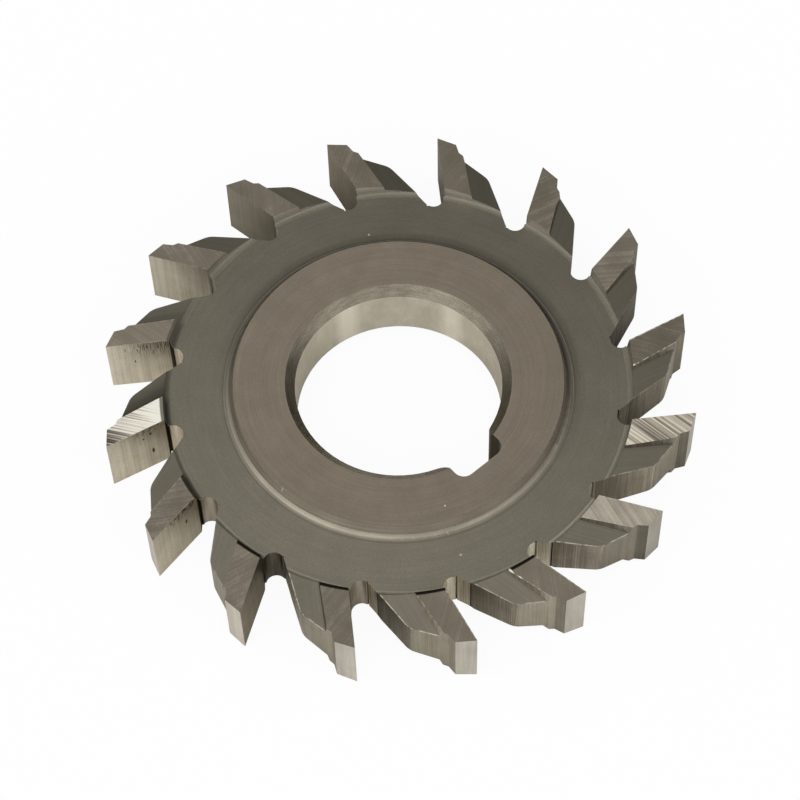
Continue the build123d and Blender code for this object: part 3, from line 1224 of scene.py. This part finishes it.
        foot, away = self.wall_foot
        reach = (own[:, :2] - foot) @ away / self.floor_width
        shadow = self.per_tooth(self.floor_fade)[tooth] * (1.0 - reach)
        found[:, 2] *= np.where(self.among(zone, Zone.SIDE_FLOOR), 1.0 - shadow, 1.0)

        beside = self.rise(own[:, 0], *self.shade_front) * self.rise(own[:, 0], *self.shade_rear)
        beside *= self.rise(np.hypot(places[:, 0], places[:, 1]), *self.shade_inner)
        shadow = self.per_tooth(self.wall_shade)[tooth] * beside
        found[:, 2] *= np.where(self.among(zone, Zone.RIM_COVE), 1.0 - shadow, 1.0)

        # Painted light: lighter towards the lit side, darker where the share is below zero.
        side = math.radians(LIT_SIDE)
        towards = (places[:, 0] * math.cos(side) + places[:, 1] * math.sin(side)) / self.rim_radius
        for name, share in self.lit_side_lighter.items():
            here = self.among(zone, name)
            found[here, 2] += share * towards[here]


@dataclass(frozen=True)
class Panel:
    """A soft panel of light: its azimuth from the camera's, elevation, sharpness and level."""

    azimuth: float
    elevation: float
    sharpness: float
    level: float


@dataclass(frozen=True)
class Studio:
    """The floor, the soft panels of light all round and the camera."""

    target: Triple = (2.0015, -1.5134, 4.0)
    azimuth: float = 50.485
    elevation: float = 59.601
    roll: float = -1.818
    distance: float = 294.955
    focal_pixels: float = 2804.393
    image_pixels: float = 800.0
    floor_level: float = -4.0
    floor_radius: float = 1500.0
    floor_corners: int = 96
    seen_white: float = 0.94
    room_level: float = 0.02
    panels: tuple[Panel, ...] = (
        Panel(-46.0, 24.0, 1.9, 1.98),
        Panel(57.5, 18.0, 4.4, 1.52),
        Panel(182.0, 58.0, 34.0, 1.26),
    )

    def axes(self) -> tuple[Vector, Vector, Vector]:
        """Work out the camera's right, up and backward directions.

        Backward is the azimuth's direction in the plane raised by the elevation. Right is level,
        and both right and up are then turned by the roll.

        Returns:
            The three directions.
        """
        turn, roll = math.radians(self.azimuth), math.radians(self.roll)
        back = self.direction(self.azimuth, self.elevation)
        right = Vector((math.cos(turn), math.sin(turn), 0.0))
        up = back.cross(right)
        rolled_right = right * math.cos(roll) + up * math.sin(roll)
        rolled_up = up * math.cos(roll) - right * math.sin(roll)
        return rolled_right, rolled_up, back

    def add_camera(self) -> None:
        """Set the camera where the picture was taken from."""
        right, up, back = self.axes()
        data = bpy.data.cameras.new("camera")
        data.sensor_width = 36.0
        data.lens = self.focal_pixels / self.image_pixels * data.sensor_width
        data.clip_start = 0.01
        data.clip_end = 10.0
        camera = bpy.data.objects.new("camera", data)
        bpy.context.scene.collection.objects.link(camera)
        matrix = Matrix((right, up, back)).transposed().to_4x4()
        matrix.translation = (Vector(self.target) + back * self.distance) * MM
        camera.matrix_world = matrix
        bpy.context.scene.camera = camera

    def add_floor(self) -> None:
        """Lay the pale floor, a wide disc just under the cutter."""
        turns = np.linspace(0, 2 * math.pi, self.floor_corners, endpoint=False)
        rim = np.stack([np.cos(turns), np.sin(turns), np.zeros(self.floor_corners)], axis=1)
        rim *= self.floor_radius * MM
        rim[:, 2] = self.floor_level * MM
        mesh = bpy.data.meshes.new("floor")
        mesh.from_pydata(rim.tolist(), [], [list(range(self.floor_corners))])
        floor = bpy.data.objects.new("floor", mesh)
        bpy.context.scene.collection.objects.link(floor)
        mesh.materials.append(self.floor_finish())

    def floor_finish(self) -> bpy.types.Material:
        """Build white paper: matt, with an even white over it for what looks at it.

        Returns:
            The material.
        """
        material = bpy.data.materials.new("white_paper")
        material.use_nodes = True
        tree = material.node_tree
        tree.nodes.clear()
        path = add_node(tree, "ShaderNodeLightPath")
        seen = path.outputs["Is Camera Ray"]
        share = add_node(tree, "ShaderNodeMath", {"operation": "MULTIPLY", 1: self.seen_white}, {0: seen})
        paper = add_node(tree, "ShaderNodeBsdfDiffuse", {"Color": (0.9, 0.9, 0.9, 1.0)})
        glow = add_node(tree, "ShaderNodeEmission", {"Color": (1.0, 1.0, 1.0, 1.0), "Strength": 1.0})
        both = add_node(
            tree, "ShaderNodeMixShader", links={0: share.outputs[0], 1: paper.outputs[0], 2: glow.outputs[0]}
        )
        add_node(tree, "ShaderNodeOutputMaterial", links={"Surface": both.outputs[0]})
        return material

    def add_world(self) -> None:
        """Light a dark room with the soft panels, and make it white to look at."""
        world = bpy.data.worlds.new("soft_room")
        bpy.context.scene.world = world
        world.use_nodes = True
        tree = world.node_tree
        tree.nodes.clear()
        way = add_node(tree, "ShaderNodeTexCoord").outputs["Generated"]
        level = add_node(tree, "ShaderNodeValue").outputs[0]
        level.default_value = self.room_level
        for panel in self.panels:
            lobe = self.lobe(tree, way, panel)
            level = add_node(tree, "ShaderNodeMath", {"operation": "ADD"}, {0: level, 1: lobe}).outputs[0]
        path = add_node(tree, "ShaderNodeLightPath")
        seen = path.outputs["Is Camera Ray"]
        strength = add_node(tree, "ShaderNodeMix", {"data_type": "FLOAT", 3: 1.0}, {0: seen, 2: level})
        light = add_node(
            tree, "ShaderNodeBackground", {"Color": (1.0, 1.0, 1.0, 1.0)}, {"Strength": strength.outputs[0]}
        )
        add_node(tree, "ShaderNodeOutputWorld", links={"Surface": light.outputs[0]})

    def lobe(self, tree: Tree, way: Socket, panel: Panel) -> Socket:
        """Add the light of one panel: its level times e to its sharpness times (cosine less one).

        Args:
            tree: the world's node tree.
            way: the direction that is looked at.
            panel: the panel.

        Returns:
            The light that comes from that direction.
        """
        middle = self.direction(self.azimuth + panel.azimuth, panel.elevation)
        cosine = add_node(tree, "ShaderNodeVectorMath", {"operation": "DOT_PRODUCT", 1: middle}, {0: way})
        less = add_node(
            tree, "ShaderNodeMath", {"operation": "SUBTRACT", 1: 1.0}, {0: cosine.outputs["Value"]}
        )
        sharper = add_node(
            tree, "ShaderNodeMath", {"operation": "MULTIPLY", 1: panel.sharpness}, {0: less.outputs[0]}
        )
        power = add_node(tree, "ShaderNodeMath", {"operation": "EXPONENT"}, {0: sharper.outputs[0]})
        return add_node(
            tree, "ShaderNodeMath", {"operation": "MULTIPLY", 1: panel.level}, {0: power.outputs[0]}
        ).outputs[0]

    @staticmethod
    def direction(azimuth: float, elevation: float) -> Vector:
        """Return the direction from the cutter towards a view's azimuth and elevation."""
        turn, rise = math.radians(azimuth), math.radians(elevation)
        return Vector((math.sin(turn) * math.cos(rise), -math.cos(turn) * math.cos(rise), math.sin(rise)))

    def build(self) -> None:
        """Put up the whole studio."""
        self.add_camera()
        self.add_floor()
        self.add_world()


def main() -> None:
    """Dress the cutter and put it in its studio."""
    logging.basicConfig(level=logging.INFO)
    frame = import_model()
    view = bpy.context.scene.view_settings
    view.view_transform = "Standard"
    body = CutterBody()
    body.build(frame["nodes"]["cutter"])
    body.dress()
    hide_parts("cutter")
    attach(body.object, "root")
    Studio().build()


if __name__ == "__main__":
    main()
